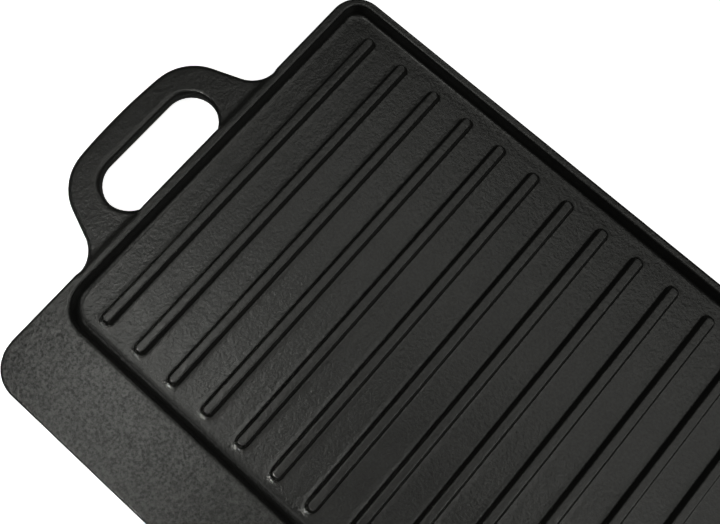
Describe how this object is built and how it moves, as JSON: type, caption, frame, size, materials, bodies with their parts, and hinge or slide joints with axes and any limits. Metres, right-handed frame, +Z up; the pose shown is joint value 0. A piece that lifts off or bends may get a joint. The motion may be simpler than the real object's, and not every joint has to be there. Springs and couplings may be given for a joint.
{
  "type": "reversible griddle plate",
  "caption": "Long rectangular cast-iron griddle plate: ribbed recessed pan with a wide flat drip margin on one face, smooth face with a fat trough on the other, loop handle at each end.",
  "frame": {"origin": "centre of the bounding box's bottom face, on the plane of the underside rim", "axes": "+X along the plate from the handle at one short end to the other, +Y across the plate along the ribs with the wide drip margin on the -Y side, +Z up out of the ribbed face"},
  "size_m": [0.4646, 0.25, 0.015],
  "materials": {
    "seasoned_iron": "satin black seasoned casting skin with a fine pebbled grain"
  },
  "bodies": {
    "root": {"griddle_casting": "seasoned_iron"}
  },
  "joints": []
}
